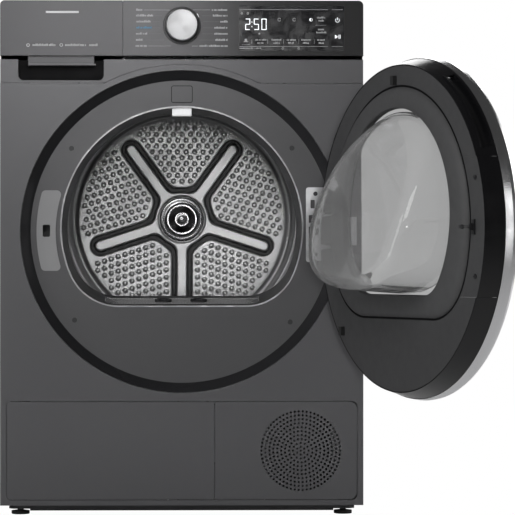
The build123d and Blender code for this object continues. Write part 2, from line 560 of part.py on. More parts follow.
hook = box(-226.5, -219.5, DOOR_FACE, DOOR_FACE + 3, DOOR_Z - 11, DOOR_Z + 11)
hook += box(-225.5, -220.5, DOOR_FACE, DOOR_FACE + 25, DOOR_Z - 2.2, DOOR_Z + 2.2)
hook += Pos(-223, DOOR_FACE + 21, DOOR_Z) * Sphere(3.5) + box(-225.0, -221.0, DOOR_FACE + 1, DOOR_FACE + 8, DOOR_Z - 5, DOOR_Z + 5)

bumpers = []
for x, z in ((8, 695), (174, 306.7)):
    bumpers.append(box(x - 4.5, x + 4.5, DOOR_FACE, DOOR_FACE + 6.5, z - 7, z + 7))

dscrews = []
for x, z in ((-226, DOOR_Z + 72), (-226, DOOR_Z - 72)):
    dscrews.append(ycyl(3.6, DOOR_FACE, DOOR_FACE + 1.4, x, z) - box(x - 2.4, x + 2.4, DOOR_FACE + 0.7, DOOR_FACE + 3, z - 0.5, z + 0.5))

leaf = zcyl(4.5, ARM_Z[0] + ARM_T / 2 + 0.6, ARM_Z[1] - ARM_T / 2 - 0.6, HX, HY)
leaf += box(214, HX, -28.5, -23.5, ARM_Z[0] + 4.0, ARM_Z[1] - 4.0)
leaf += box(214, 244, -33.9, -23.5, ARM_Z[0] + 4.0, ARM_Z[1] - 4.0)
leaf -= zcyl(PIN_R + RUN, 400, 560, HX, HY)

for name, solid in (
    ("door_rim", [rim]), ("door_inner_frame", [frame_in]), ("latch_side_cover", [cover]),
    ("chrome_ring", [chrome]), ("door_glass", [glass]), ("door_bowl", [bowl]), ("door_seal", [seal]),
    ("latch_hook", [hook]), ("door_bumpers", bumpers), ("door_screws", dscrews), ("hinge_leaf", [leaf]),
):
    turned = [Pos(HX, HY, 0) * Rot(0, 0, DOOR_OPEN) * Pos(-HX, -HY, 0) * s for s in solid]
    save(name, *turned)
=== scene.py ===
import json
import math

import bmesh
import bpy
import numpy as np
from mathutils import Matrix, Vector


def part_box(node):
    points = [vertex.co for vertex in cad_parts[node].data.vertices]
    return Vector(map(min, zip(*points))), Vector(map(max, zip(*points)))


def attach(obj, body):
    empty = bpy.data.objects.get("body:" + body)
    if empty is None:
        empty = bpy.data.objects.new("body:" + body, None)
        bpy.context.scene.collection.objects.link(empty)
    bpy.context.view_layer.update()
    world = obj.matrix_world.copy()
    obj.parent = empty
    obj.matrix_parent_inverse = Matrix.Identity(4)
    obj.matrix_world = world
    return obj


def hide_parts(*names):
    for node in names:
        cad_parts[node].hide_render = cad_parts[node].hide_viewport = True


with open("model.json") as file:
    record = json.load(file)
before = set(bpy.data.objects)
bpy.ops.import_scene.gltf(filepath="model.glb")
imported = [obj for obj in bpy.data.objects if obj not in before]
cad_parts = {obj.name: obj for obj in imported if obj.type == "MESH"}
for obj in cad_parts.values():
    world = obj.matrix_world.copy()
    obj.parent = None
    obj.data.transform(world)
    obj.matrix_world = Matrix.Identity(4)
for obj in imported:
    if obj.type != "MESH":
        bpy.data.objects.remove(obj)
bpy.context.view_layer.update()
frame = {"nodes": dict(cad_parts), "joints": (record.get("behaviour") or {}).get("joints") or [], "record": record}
NODES = frame["nodes"]
JOINTS = {j["name"]: j for j in frame["joints"]}
scene = bpy.context.scene

# ------------------------------------------------------------------ layout
# Millimetres in the cabinet's layout: x to the right, y back from the front
# panel's face, z up from the floor. The frame's origin is under the cabinet's middle.
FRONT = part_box("front_panel")[0].y * 1000.0
HX, HY, _ = [c * 1000.0 for c in JOINTS["door_hinge"]["pos_m"]]
HY -= FRONT
OPEN = math.radians(-JOINTS["door_hinge"]["range_deg"][0])
REC_Z, OPEN_Z, OPEN_R, OPEN_FLAT = 466.6, 473.2, 197.8, 345.0
DOOR_Z = 467.4
DRUM_Z = JOINTS["drum_spin"]["pos_m"][2] * 1000.0
KNOB_Z = JOINTS["knob_turn"]["pos_m"][2] * 1000.0


def to_m(co):
    co = np.asarray(co, float).reshape(-1, 3).copy()
    co[:, 1] += FRONT
    return co / 1000.0


def door_turn(co):
    """Layout points of the shut door, turned to the open rest position."""
    co = np.asarray(co, float).reshape(-1, 3).copy()
    dx, dy = co[:, 0] - HX, co[:, 1] - HY
    c, s = math.cos(OPEN), math.sin(OPEN)
    co[:, 0], co[:, 1] = HX + dx * c - dy * s, HY + dx * s + dy * c
    return co


# ------------------------------------------------------------------ mesh helpers
def make(name, verts, faces, material, body, slot=None, door=False, replaces=(), smooth=40, mats=None):
    co = to_m(door_turn(verts) if door else verts)
    me = bpy.data.meshes.new(name)
    me.from_pydata([tuple(v) for v in co], [], [tuple(int(i) for i in f) for f in faces])
    me.validate(clean_customdata=False)
    me.update()
    ob = bpy.data.objects.new(name, me)
    scene.collection.objects.link(ob)
    for m in (mats or [material]):
        me.materials.append(m)
    if smooth is not None:
        me.polygons.foreach_set("use_smooth", np.ones(len(me.polygons), bool))
        me.set_sharp_from_angle(angle=math.radians(smooth))
    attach(ob, body)
    if replaces:
        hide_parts(*replaces)
    return ob


def fix_normals(ob):
    bm = bmesh.new()
    bm.from_mesh(ob.data)
    bmesh.ops.recalc_face_normals(bm, faces=bm.faces)
    bm.to_mesh(ob.data)
    bm.free()
    return ob


def round_path(pts, radii, n=5, closed=True):
    """A polyline with its corners rounded to the given radii."""
    pts = [np.array(p, float) for p in pts]
    if not hasattr(radii, "__len__"):
        radii = [radii] * len(pts)
    out = []
    N = len(pts)
    for i, p in enumerate(pts):
        if not closed and i in (0, N - 1) or radii[i] <= 0:
            out.append(p)
            continue
        a, b = pts[(i - 1) % N] - p, pts[(i + 1) % N] - p
        la, lb = np.linalg.norm(a), np.linalg.norm(b)
        a, b = a / la, b / lb
        ang = math.acos(max(-1, min(1, float(a @ b))))
        if ang > math.pi - 1e-3:
            out.append(p)
            continue
        t = min(radii[i] / math.tan(ang / 2), 0.48 * la, 0.48 * lb)
        r = t * math.tan(ang / 2)
        c = p + (a + b) / np.linalg.norm(a + b) * (r / math.sin(ang / 2))
        s, e = p + a * t, p + b * t
        a0, a1 = math.atan2(*(s - c)[::-1]), math.atan2(*(e - c)[::-1])
        d = (a1 - a0 + math.pi) % (2 * math.pi) - math.pi
        for k in range(n + 1):
            q = a0 + d * k / n
            out.append(c + r * np.array([math.cos(q), math.sin(q)]))
    return out


def lathe(profile, cx, cz, seg=256, closed=True, a0=0.0, a1=2 * math.pi):
    """Profile points (radius, y) turned about the Y axis through cx, cz."""
    full = abs(a1 - a0 - 2 * math.pi) < 1e-9
    n = len(profile)
    cols = seg if full else seg + 1
    ang = a0 + (a1 - a0) * np.arange(cols) / seg
    pr = np.array(profile, float)
    v = np.empty((cols, n, 3))
    v[:, :, 0] = cx + np.cos(ang)[:, None] * pr[:, 0]
    v[:, :, 1] = pr[:, 1]
    v[:, :, 2] = cz + np.sin(ang)[:, None] * pr[:, 0]
    faces = []
    last = cols if full else cols - 1
    span = n if closed else n - 1
    for i in range(last):
        j = (i + 1) % cols
        for k in range(span):
            m = (k + 1) % n
            if pr[k, 0] < 1e-9 and pr[m, 0] < 1e-9:
                continue
            faces.append((i * n + k, j * n + k, j * n + m, i * n + m))
    return v.reshape(-1, 3), faces


def grid_faces(nu, nv, wrap_u=False, wrap_v=False):
    f = []
    for i in range(nu if wrap_u else nu - 1):
        for j in range(nv if wrap_v else nv - 1):
            a, b = i * nv + j, ((i + 1) % nu) * nv + j
            c, d = ((i + 1) % nu) * nv + (j + 1) % nv, i * nv + (j + 1) % nv
            f.append((a, b, c, d))
    return f


def opening_path(d=0.0, n_arc=160, R=OPEN_R, flat=OPEN_FLAT, fil=85.0, cz=OPEN_Z):
    """The door opening's outline in x, z, offset outwards by d; starts at the left end of the flat."""
    R, flat, fil = R + d, flat - d, fil + d
    zc = flat + fil
    dz = zc - cz
    xc = math.sqrt(max((R - fil) ** 2 - dz * dz, 1e-6))
    a_join = math.atan2(dz, xc)
    pts = []
    for k in range(n_arc + 1):
        a = a_join + (math.pi - 2 * a_join) * k / n_arc
        pts.append((R * math.cos(a), cz + R * math.sin(a)))
    nf = n_arc // 4
    for k in range(1, nf + 1):
        a = math.pi - a_join + (math.pi / 2 + a_join) * k / nf
        pts.append((-xc + fil * math.cos(a), zc + fil * math.sin(a)))
    nb = n_arc // 5
    for k in range(1, nb):
        pts.append((-xc + 2 * xc * k / nb, flat))
    for k in range(0, nf):
        a = -math.pi / 2 + (math.pi / 2 + a_join) * k / nf
        pts.append((xc + fil * math.cos(a), zc + fil * math.sin(a)))
    return np.array(pts)


def smoothstep(a, b, x):
    t = np.clip((x - a) / (b - a), 0, 1)
    return t * t * (3 - 2 * t)


# ------------------------------------------------------------------ materials
def material(name, color, rough, metallic=0.0, spec=0.5, coat=0.0, coat_rough=0.08, var=0.10, scale=9.0,
             rvar=0.06, rscale=60.0, bump=0.0, bscale=900.0, stretch=(1, 1, 1), bump2=None,
             transmission=0.0, ior=1.5, alpha=None, sheen=0.0, emission=None, estr=0.0, aniso=0.0):
    m = bpy.data.materials.new(name)
    m.use_nodes = True
    nt = m.node_tree
    nd, ln = nt.nodes, nt.links
    nd.clear()
    out = nd.new("ShaderNodeOutputMaterial")
    b = nd.new("ShaderNodeBsdfPrincipled")
    ln.new(b.outputs[0], out.inputs[0])
    b.inputs["Metallic"].default_value = metallic
    b.inputs["Specular IOR Level"].default_value = spec
    b.inputs["Coat Weight"].default_value = coat
    b.inputs["Coat Roughness"].default_value = coat_rough
    b.inputs["IOR"].default_value = ior
    b.inputs["Transmission Weight"].default_value = transmission
    b.inputs["Sheen Weight"].default_value = sheen
    b.inputs["Anisotropic"].default_value = aniso
    if emission is not None:
        b.inputs["Emission Color"].default_value = (*emission, 1)
        b.inputs["Emission Strength"].default_value = estr
    tc = nd.new("ShaderNodeTexCoord")
    mp = nd.new("ShaderNodeMapping")
    mp.inputs["Scale"].default_value = stretch
    ln.new(tc.outputs["Object"], mp.inputs[0])
    n1 = nd.new("ShaderNodeTexNoise")
    n1.inputs["Scale"].default_value = scale
    n1.inputs["Detail"].default_value = 4
    ln.new(mp.outputs[0], n1.inputs["Vector"])
    mix = nd.new("ShaderNodeMix")
    mix.data_type = "RGBA"
    mix.inputs["A"].default_value = (*[c * (1 - var) for c in color], 1)
    mix.inputs["B"].default_value = (*[min(1, c * (1 + var)) for c in color], 1)
    ln.new(n1.outputs["Fac"], mix.inputs["Factor"])
    ln.new(mix.outputs["Result"], b.inputs["Base Color"])
    n2 = nd.new("ShaderNodeTexNoise")
    n2.inputs["Scale"].default_value = rscale
    n2.inputs["Detail"].default_value = 3
    ln.new(mp.outputs[0], n2.inputs["Vector"])
    mr = nd.new("ShaderNodeMapRange")
    mr.inputs["From Min"].default_value = 0.3
    mr.inputs["From Max"].default_value = 0.7
    mr.inputs["To Min"].default_value = max(0.0, rough - rvar)
    mr.inputs["To Max"].default_value = min(1.0, rough + rvar)
    ln.new(n2.outputs["Fac"], mr.inputs["Value"])
    ln.new(mr.outputs[0], b.inputs["Roughness"])
    if bump:
        n3 = nd.new("ShaderNodeTexNoise")
        n3.inputs["Scale"].default_value = bscale
        n3.inputs["Detail"].default_value = 2
        ln.new(mp.outputs[0], n3.inputs["Vector"])
        bp = nd.new("ShaderNodeBump")
        bp.inputs["Strength"].default_value = bump
        bp.inputs["Distance"].default_value = 0.0006
        ln.new(n3.outputs["Fac"], bp.inputs["Height"])
        ln.new(bp.outputs[0], b.inputs["Normal"])
    m["bsdf"] = b.name
    return m


MAT = {
    "front_paint": material("front_paint", (0.105, 0.104, 0.109), 0.42, metallic=0.6, coat=0.1, coat_rough=0.3, var=0.03, rvar=0.02, bump=0.06, bscale=2600),
    "cabinet_paint": material("cabinet_paint", (0.072, 0.071, 0.076), 0.5, metallic=0.45, var=0.05, bump=0.12, bscale=1800),
    "top_paint": material("top_paint", (0.06, 0.06, 0.063), 0.55, metallic=0.2, var=0.06, bump=0.35, bscale=1500),
    "galvanised": material("galvanised", (0.42, 0.43, 0.44), 0.42, metallic=0.9, var=0.16, scale=60, rvar=0.12, rscale=40),
    "gloss_black": material("gloss_black", (0.008, 0.008, 0.009), 0.2, var=0.1, rvar=0.05, rscale=30),
    "recess_plastic": material("recess_plastic", (0.10, 0.099, 0.103), 0.42, metallic=0.55, var=0.03, rvar=0.02, bump=0.15, bscale=2200),
    "satin_trim": material("satin_trim", (0.27, 0.27, 0.275), 0.35, metallic=1.0, var=0.05),
    "lamp_lens": material("lamp_lens", (0.9, 0.91, 0.93), 0.3, var=0.03, emission=(1, 1, 1), estr=0.25),
    "grey_plastic": material("grey_plastic", (0.30, 0.30, 0.305), 0.5, var=0.05, bump=0.2, bscale=1600),
    "black_plastic": material("black_plastic", (0.02, 0.02, 0.022), 0.45, var=0.1, bump=0.2, bscale=1600),
    "bare_steel": material("bare_steel", (0.5, 0.5, 0.51), 0.34, metallic=0.95, var=0.1, stretch=(1, 1, 14), rscale=120),
    "fascia_black": material("fascia_black", (0.066, 0.065, 0.069), 0.4, metallic=0.5, coat=0.15, coat_rough=0.25, var=0.02, rvar=0.01),
    "display_black": material("display_black", (0.012, 0.012, 0.014), 0.12, coat=0.6, var=0.1),
    "circuit_board": material("circuit_board", (0.02, 0.16, 0.07), 0.4, var=0.2, scale=220),
    "tank_plastic": material("tank_plastic", (0.6, 0.62, 0.65), 0.4, var=0.05, transmission=0.35),
    "rubber_black": material("rubber_black", (0.018, 0.018, 0.018), 0.7, var=0.15, bump=0.4, bscale=900),
    "motor_grey": material("motor_grey", (0.16, 0.16, 0.17), 0.5, metallic=0.6, var=0.12),
    "fin_aluminium": material("fin_aluminium", (0.62, 0.63, 0.65), 0.35, metallic=0.95, var=0.08, stretch=(30, 1, 1)),
    "compressor_black": material("compressor_black", (0.015, 0.015, 0.016), 0.35, var=0.1, bump=0.1, bscale=300),
    "felt": material("felt", (0.55, 0.53, 0.49), 0.95, var=0.18, scale=90, bump=0.8, bscale=1400, sheen=0.4),
    "screw_steel": material("screw_steel", (0.035, 0.035, 0.037), 0.4, metallic=0.4, var=0.1),
    "door_grey": material("door_grey", (0.062, 0.062, 0.064), 0.55, var=0.05, bump=0.2, bscale=2000),
    "chrome_trim": material("chrome_trim", (0.8, 0.8, 0.81), 0.2, metallic=1.0, var=0.03, rvar=0.03),
    "smoked_glass": material("smoked_glass", (0.90, 0.90, 0.90), 0.02, transmission=1.0, ior=1.3, var=0.02, rvar=0.01),
    "clear_glass": material("clear_glass", (0.95, 0.955, 0.955), 0.02, transmission=1.0, ior=1.46, var=0.02, rvar=0.01),
    "seal_rubber": material("seal_rubber", (0.075, 0.075, 0.077), 0.62, var=0.06, bump=0.15, bscale=1600),
    "drum_steel": material("drum_steel", (0.55, 0.55, 0.555), 0.3, metallic=1.0, var=0.06, scale=14, rvar=0.07),
    "hub_steel": material("hub_steel", (0.42, 0.42, 0.43), 0.22, metallic=1.0, var=0.06),
    "knob_aluminium": material("knob_aluminium", (0.62, 0.62, 0.63), 0.28, metallic=1.0, var=0.04),
    "filter_plastic": material("filter_plastic", (0.24, 0.24, 0.245), 0.5, var=0.08, bump=0.3, bscale=700),
    "drum_plate": material("drum_plate", (0.64, 0.64, 0.645), 0.38, metallic=0.9, var=0.03, scale=8, rvar=0.04, rscale=12),
    "knob_spun": material("knob_spun", (0.31, 0.31, 0.315), 0.36, metallic=1.0, var=0.03, rvar=0.02, aniso=0.85),
    "fascia_ring": material("fascia_ring", (0.012, 0.012, 0.013), 0.35, var=0.05),
    "mark_faint": material("mark_faint", (0.62, 0.62, 0.63), 0.5, var=0.04),
    "mark_line": material("mark_line", (0.62, 0.62, 0.63), 0.5, var=0.04),
    "mark_dim": material("mark_dim", (0.2, 0.2, 0.205), 0.5, var=0.04),
    "mark_bar": material("mark_bar", (0.85, 0.85, 0.86), 0.4, var=0.03),
    "mark_lit": material("mark_lit", (0.85, 0.87, 0.9), 0.4, var=0.02, emission=(0.95, 0.97, 1.0), estr=0.9),
    "filter_wire": material("filter_wire", (0.6, 0.6, 0.6), 0.45, metallic=0.3, var=0.08),
    # painted shade: a near-black laid in wells, gaps and seams where shade falls
    "well_black": material("well_black", (0.004, 0.004, 0.0045), 0.55, spec=0.12, var=0.08),
    "surround_black": material("surround_black", (0.024, 0.024, 0.026), 0.24, var=0.06, rvar=0.03, rscale=20),
    "mark_blue": material("mark_blue", (0.03, 0.13, 0.22), 0.5, var=0.04, emission=(0.05, 0.25, 0.42), estr=0.5),
}
# painted shade: the control fascia's material, darkened towards the right below
MAT["fascia_fade"] = material("fascia_fade", (0.076, 0.075, 0.079), 0.4, metallic=0.5, coat=0.12, coat_rough=0.25, var=0.02, rvar=0.01)
SLOT_OF = {s["node"]: s["material_slot"] for s in frame["record"]["subparts"]}
for name, ob in NODES.items():
    m = MAT[{"control_fascia": "fascia_fade", "door_surround": "surround_black"}.get(name, SLOT_OF[name])]
    ob.data.materials.clear()
    ob.data.materials.append(m)
    for p in ob.data.polygons:
        p.material_index = 0

# spun faces: the grain runs in rings about the axis
for key, amount in (("knob_spun", 0.85), ("hub_steel", 0.8)):
    nt = MAT[key].node_tree
    tg = nt.nodes.new("ShaderNodeTangent")
    tg.direction_type = "RADIAL"
    tg.axis = "Y"
    bs = nt.nodes[MAT[key]["bsdf"]]
    bs.inputs["Anisotropic"].default_value = amount
    nt.links.new(tg.outputs[0], bs.inputs["Tangent"])

# the bowl is moulded plastic: a little of it scatters
nt = MAT["clear_glass"].node_tree
veil = nt.nodes.new("ShaderNodeBsdfDiffuse")
veil.inputs[0].default_value = (0.9, 0.9, 0.9, 1)
vm = nt.nodes.new("ShaderNodeMixShader")
vm.inputs[0].default_value = 0.10
bs = nt.nodes[MAT["clear_glass"]["bsdf"]]
nt.links.new(bs.outputs[0], vm.inputs[1])
nt.links.new(veil.outputs[0], vm.inputs[2])
nt.links.new(vm.outputs[0],
             [n for n in nt.nodes if n.type == "OUTPUT_MATERIAL"][0].inputs[0])

# painted shade: the control fascia's dark base colour is scaled down from left to right, standing in for light falling
# off across it
nt = MAT["fascia_fade"].node_tree
bs = nt.nodes[MAT["fascia_fade"]["bsdf"]]
src = bs.inputs["Base Color"].links[0].from_socket
tcx = nt.nodes.new("ShaderNodeTexCoord")
sx = nt.nodes.new("ShaderNodeSeparateXYZ")
nt.links.new(tcx.outputs["Object"], sx.inputs[0])
fr = nt.nodes.new("ShaderNodeMapRange")
fr.inputs["From Min"].default_value = -0.03
fr.inputs["From Max"].default_value = 0.16
fr.inputs["To Min"].default_value = 1.0
fr.inputs["To Max"].default_value = 0.12
fr.interpolation_type = "SMOOTHSTEP"
nt.links.new(sx.outputs["X"], fr.inputs["Value"])
falloff_shade = nt.nodes.new("ShaderNodeVectorMath")
falloff_shade.operation = "SCALE"
nt.links.new(src, falloff_shade.inputs[0])
nt.links.new(fr.outputs[0], falloff_shade.inputs["Scale"])
nt.links.new(falloff_shade.outputs[0], bs.inputs["Base Color"])

# crisp CAD pieces get small rolled edges
for name, width in (("front_panel", 0.0009), ("upper_trim", 0.0008), 
                    ("service_flap", 0.0009), ("grille_panel", 0.0009), ("worktop", 0.001), ("side_panel_left", 0.0004),
                    ("side_panel_right", 0.0004), ("latch_plate", 0.0006), ("hinge_plate", 0.0005), ("display_window", 0.0003),
                    ("base_housing", 0.001), ("drum_lamp_lens", 0.001), ("lamp_cover", 0.0003), ("latch_hook", 0.0004)):
    ob = NODES[name]
    w = ob.modifiers.new("weld", "WELD")
    w.merge_threshold = 1e-5
    b = ob.modifiers.new("edge", "BEVEL")
    b.width = width
    b.segments = 2
    b.limit_method = "ANGLE"
    b.angle_limit = math.radians(35)
    b.use_clamp_overlap = True
    b.harden_normals = False

# ------------------------------------------------------------------ drum back plate, pressed
def smin(a, b, k):
    h = np.clip(0.5 + 0.5 * (b - a) / k, 0, 1)
    return b * (1 - h) + a * h - k * h * (1 - h)


SPOKES = [math.radians(a) for a in (270, 342, 54, 126, 198)]


def star(x, z):
    """Signed distance to the hub and its five spokes."""
    d = np.hypot(x, z) - 49.5
    for a in SPOKES:
        c, s = math.cos(a), math.sin(a)
        u = np.clip(x * c + z * s, 0, 157.0)
        d = smin(d, np.hypot(x - u * c, z - u * s) - 9.9, 15.0)
    return d


def back_height(x, z):
    r = np.hypot(x, z)
    s = star(x, z)
    h = -5.5 * smoothstep(-1.6, 1.2, s) + 5.5 * smoothstep(7.2, 9.8, s)
    h += 1.6 * (1 - smoothstep(-2.0, 0.5, s))
    h *= 1 - smoothstep(183, 187, r)
    ang = np.degrees(np.arctan2(z, x)) % 360
    k = np.floor(((ang - 270) % 360) / 72)
    mid = np.radians(270 + 36 + 72 * k)
    a1, a2 = mid + math.radians(36), mid - math.radians(36)
    p = 13.2
    det = np.cos(a1) * np.sin(a2) - np.sin(a1) * np.cos(a2)
    ox, oz = np.cos(mid) * 6.0, np.sin(mid) * 6.0
    qx, qz = x - ox, z - oz
    i = (qx * np.sin(a2) - qz * np.cos(a2)) / det / p
    j = (np.cos(a1) * qz - np.sin(a1) * qx) / det / p
    ri, rj = np.round(i), np.round(j)
    cx = ox + p * (ri * np.cos(a1) + rj * np.cos(a2))
    cz = oz + p * (ri * np.sin(a1) + rj * np.sin(a2))
    d = np.hypot(x - cx, z - cz)
    ok = (star(cx, cz) > 15.5) & (np.hypot(cx, cz) < 180.5) & (ri > 0) & (rj > 0)
    bump = np.where(ok, 2.0 * (1 - smoothstep(1.6, 4.7, d)) - 0.9 * (1 - smoothstep(0.4, 2.0, d)), 0.0)
    h += bump
    ridge = -6.5 * smoothstep(187, 196, r) + 15.0 * smoothstep(197, 208.5, r) - 3.0 * smoothstep(212, 222, r)
    return h + ridge


def groove_painted_shade(x, z):
    """1 on open faces, near 0 down in the grooves where light hardly reaches."""
    s, r = star(x, z), np.hypot(x, z)
    g = smoothstep(-0.8, 0.8, s) * (1 - smoothstep(7.4, 9.4, s)) * (1 - smoothstep(182, 187, r))
    ring = smoothstep(188, 190, r) * (1 - smoothstep(193, 196, r)) * 0.55
    return 1 - 0.93 * g - ring


def back_plate():
    R, step = 280.4, 1.3
    n = int(2 * R / step) + 3
    g = (np.arange(n) - (n - 1) / 2) * step
    x, z = np.meshgrid(g, g, indexing="ij")
    r = np.hypot(x, z)
    inside = r <= R
    keep = inside[:-1, :-1] | inside[1:, :-1] | inside[:-1, 1:] | inside[1:, 1:]
    k = np.where(r > R, R / np.maximum(r, 1e-6), 1.0)
    x, z = x * k, z * k
    h = back_height(x, z)
    y = 496.8 - np.where(h < 0, 0.55 * h, h)
    y += 3.8 * (1 - smoothstep(41.9, 43.9, r))
    idx = np.arange(n * n).reshape(n, n)
    a, b, c, d = idx[:-1, :-1][keep], idx[1:, :-1][keep], idx[1:, 1:][keep], idx[:-1, 1:][keep]
    quads = np.stack([a, b, c, d], 1)
    used = np.unique(quads)
    remap = -np.ones(n * n, int)
    remap[used] = np.arange(len(used))
    v = np.stack([x, y, z + DRUM_Z], 2).reshape(-1, 3)[used]
    return v, remap[quads], groove_painted_shade(x, z).reshape(-1)[used]


v, f, mask = back_plate()
front = make("drum_back_pressing", v, f, MAT["drum_plate"], "drum", slot="drum_steel", smooth=None)
front.data.polygons.foreach_set("use_smooth", np.ones(len(front.data.polygons), bool))
# painted shade: the groove mask darkens the plate's base colour down in the grooves and in the ring groove
at_ = front.data.attributes.new("groove", "FLOAT", "POINT")
at_.data.foreach_set("value", mask.astype(np.float32))
nt = MAT["drum_plate"].node_tree
bs = nt.nodes[MAT["drum_plate"]["bsdf"]]
src = bs.inputs["Base Color"].links[0].from_socket
an = nt.nodes.new("ShaderNodeAttribute")
an.attribute_name = "groove"
gm = nt.nodes.new("ShaderNodeVectorMath")
gm.operation = "SCALE"
nt.links.new(src, gm.inputs[0])
nt.links.new(an.outputs["Fac"], gm.inputs["Scale"])
nt.links.new(gm.outputs[0], bs.inputs["Base Color"])
v2, f2 = lathe([(12.6, 500.8), (12.6, 503.0), (280.4, 503.0), (280.4, 500.4)], 0, DRUM_Z, 200, closed=False)
back = fix_normals(make("drum_back_rear", v2, f2, MAT["drum_steel"], "drum", slot="drum_steel"))
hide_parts("drum_back_plate")

hub = lathe([(0.0, 487.6), (5.2, 487.6), (6.8, 488.2), (7.4, 489.6), (7.6, 493.0), (9.4, 493.2), (10.6, 492.4), (12.0, 492.4),
             (13.0, 493.4), (18.0, 494.6), (24.0, 495.8), (25.0, 495.2), (26.6, 495.2), (27.6, 496.4), (29.9, 496.9), (30.6, 498.4),
             (33.0, 498.7), (33.8, 498.3), (35.0, 498.3), (35.8, 498.8), (40.4, 499.0), (41.4, 499.5), (41.4, 500.0)], 0, DRUM_Z, 160, closed=False)
hub_ob = fix_normals(make("hub_cap_turned", *hub, MAT["hub_steel"], "drum", slot="hub_steel", replaces=("hub_cap",), smooth=28))

# ------------------------------------------------------------------ knob
ky = -2.6
knob = lathe([(0.0, -21.9), (8.0, -21.95), (18.0, -22.1), (24.6, -22.35), (25.3, -22.9), (26.2, -22.7), (26.9, -21.8), (27.3, -20.4),
              (27.7, -12.0), (28.0, -4.2), (27.6, -3.0), (26.0, ky), (4.0, ky), (4.0, -6.0), (0.0, -6.0)], 0, KNOB_Z, 192, closed=False)
knob_ob = fix_normals(make("knob_turned", *knob, MAT["knob_spun"], "programme_knob", slot="knob_aluminium", replaces=("programme_knob",), smooth=25))
skirt = lathe([(28.0, -3.4), (30.2, -3.2), (31.0, -2.3), (31.0, -1.7), (28.0, -1.7)], 0, KNOB_Z, 128)
fix_normals(make("knob_skirt_ring", *skirt, MAT["fascia_ring"], "cabinet", slot="fascia_black", smooth=30))


# ------------------------------------------------------------------ printed and lit marks
def prisms(name, polys, y0, y1, mat, body, slot):
    v, f = [], []
    for poly in polys:
        n, b = len(poly), len(v)
        v += [(p[0], y0, p[1]) for p in poly] + [(p[0], y1, p[1]) for p in poly]
        f.append([b + i for i in range(n)])
        f.append([b + n + i for i in reversed(range(n))])
        for i in range(n):
            j = (i + 1) % n
            f.append([b + i, b + n + i, b + n + j, b + j])
    return fix_normals(make(name, v, f, mat, body, slot=slot, smooth=None))


GU = 1.6383
FX0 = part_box("drawer_front")[0].x * 1000
FZ1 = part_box("drawer_front")[1].z * 1000


def at(u, w):
    return FX0 + (u - 0.3) * GU, FZ1 - (w - 0.6) * GU


def bar(u0, u1, w0, w1):
    (xa, za), (xb, zb) = at(u0, w0), at(u1, w1)
    return [(xa, za), (xb, za), (xb, zb), (xa, zb)]


def words(u0, u1, w, h=1.5, seed=1):
    """A row of small blocks: unreadable stand-in lettering."""
    out, u, s = [], u0, seed
    while u < u1 - 0.4:
        s = (s * 37 + 11) % 101
        wd = 0.55 + (s % 5) * 0.14
        tall = h if s % 3 else h * 1.35
        out.append(bar(u, min(u + wd, u1), w + h / 2 - tall, w + h / 2))
        u += wd + 0.32 + (0.7 if s % 11 == 0 else 0)
    return out


def arc_band(u, w, r0, r1, a0, a1, n=14):
    cx, cz = at(u, w)
    p = [(cx + r1 * math.cos(math.radians(a0 + (a1 - a0) * i / n)), cz + r1 * math.sin(math.radians(a0 + (a1 - a0) * i / n))) for i in range(n + 1)]
    q = [(cx + r0 * math.cos(math.radians(a0 + (a1 - a0) * i / n)), cz + r0 * math.sin(math.radians(a0 + (a1 - a0) * i / n))) for i in range(n + 1)]
    return [[p[i], p[i + 1], q[i + 1], q[i]] for i in range(n)]


SEG = {"3": "abgcd", "2": "abged", "0": "abcdef", "5": "afgcd"}


def digit(ch, u0, u1, w0, w1):
    t, g = 0.8, 0.15
    wm = (w0 + w1) / 2
    seg = {"a": bar(u0 + t * .6, u1 - t * .6, w0, w0 + t), "g": bar(u0 + t * .6, u1 - t * .6, wm - t / 2, wm + t / 2),
           "d": bar(u0 + t * .6, u1 - t * .6, w1 - t, w1), "f": bar(u0, u0 + t, w0 + g, wm - g), "b": bar(u1 - t, u1, w0 + g, wm - g),
           "e": bar(u0, u0 + t, wm + g, w1 - g), "c": bar(u1 - t, u1, wm + g, w1 - g)}
    return [seg[s] for s in SEG[ch]]


faint, lit, blue = [], [], []
rows = (10.2, 15.9, 21.9, 28.0, 34.0, 40.2, 46.2)
for k, (w, a, b) in enumerate(zip(rows, (136.2, 136.2, 136.2, 136.2, 136.0, 136.0, 135.6), (142.3, 153.0, 151.0, 152.0, 147.5, 143.0, 147.2))):
    (blue if k == 3 else faint).extend(words(a, b, w, 1.5, 3 + k))
for k, (w, a, b) in enumerate(zip(rows, (211.8, 212.8, 220.2, 214.3, 214.3, 215.2, 199.5), (227.6,) * 7)):
    faint += words(a, b, w, 1.5, 13 + k)
hair = [bar(143.8, 170.0, 10.05, 10.35), bar(148.2, 171.0, 46.05, 46.35), bar(192.7, 210.2, 9.9, 10.2), bar(191.8, 198.4, 46.1, 46.4)]
hair2 = [bar(154.5, 162.0, 15.8, 16.0), bar(152.4, 160.0, 21.8, 22.0), bar(153.0, 160.5, 27.9, 28.1), bar(149.0, 161.0, 33.9, 34.1),
         bar(145.0, 164.0, 40.1, 40.3), bar(201.5, 211.5, 15.8, 16.0), bar(203.0, 218.8, 21.8, 22.0), bar(203.0, 213.2, 27.9, 28.1),
         bar(202.0, 213.2, 33.9, 34.1), bar(199.0, 214.0, 40.1, 40.3)]
hair += [bar(239.3, 328.0, 9.45, 9.8), bar(331.8, 342.7, 9.45, 9.8), bar(239.3, 328.0, 46.3, 46.65), bar(331.8, 342.7, 46.3, 46.65),
         bar(315.2, 326.2, 25.15, 25.4), bar(241.8, 249.4, 44.4, 44.7)]
hair += [bar(u - 0.12, u + 0.12, 39.2, 43.8) for u in (251.8, 267.7, 283.5, 298.8, 314.3)]
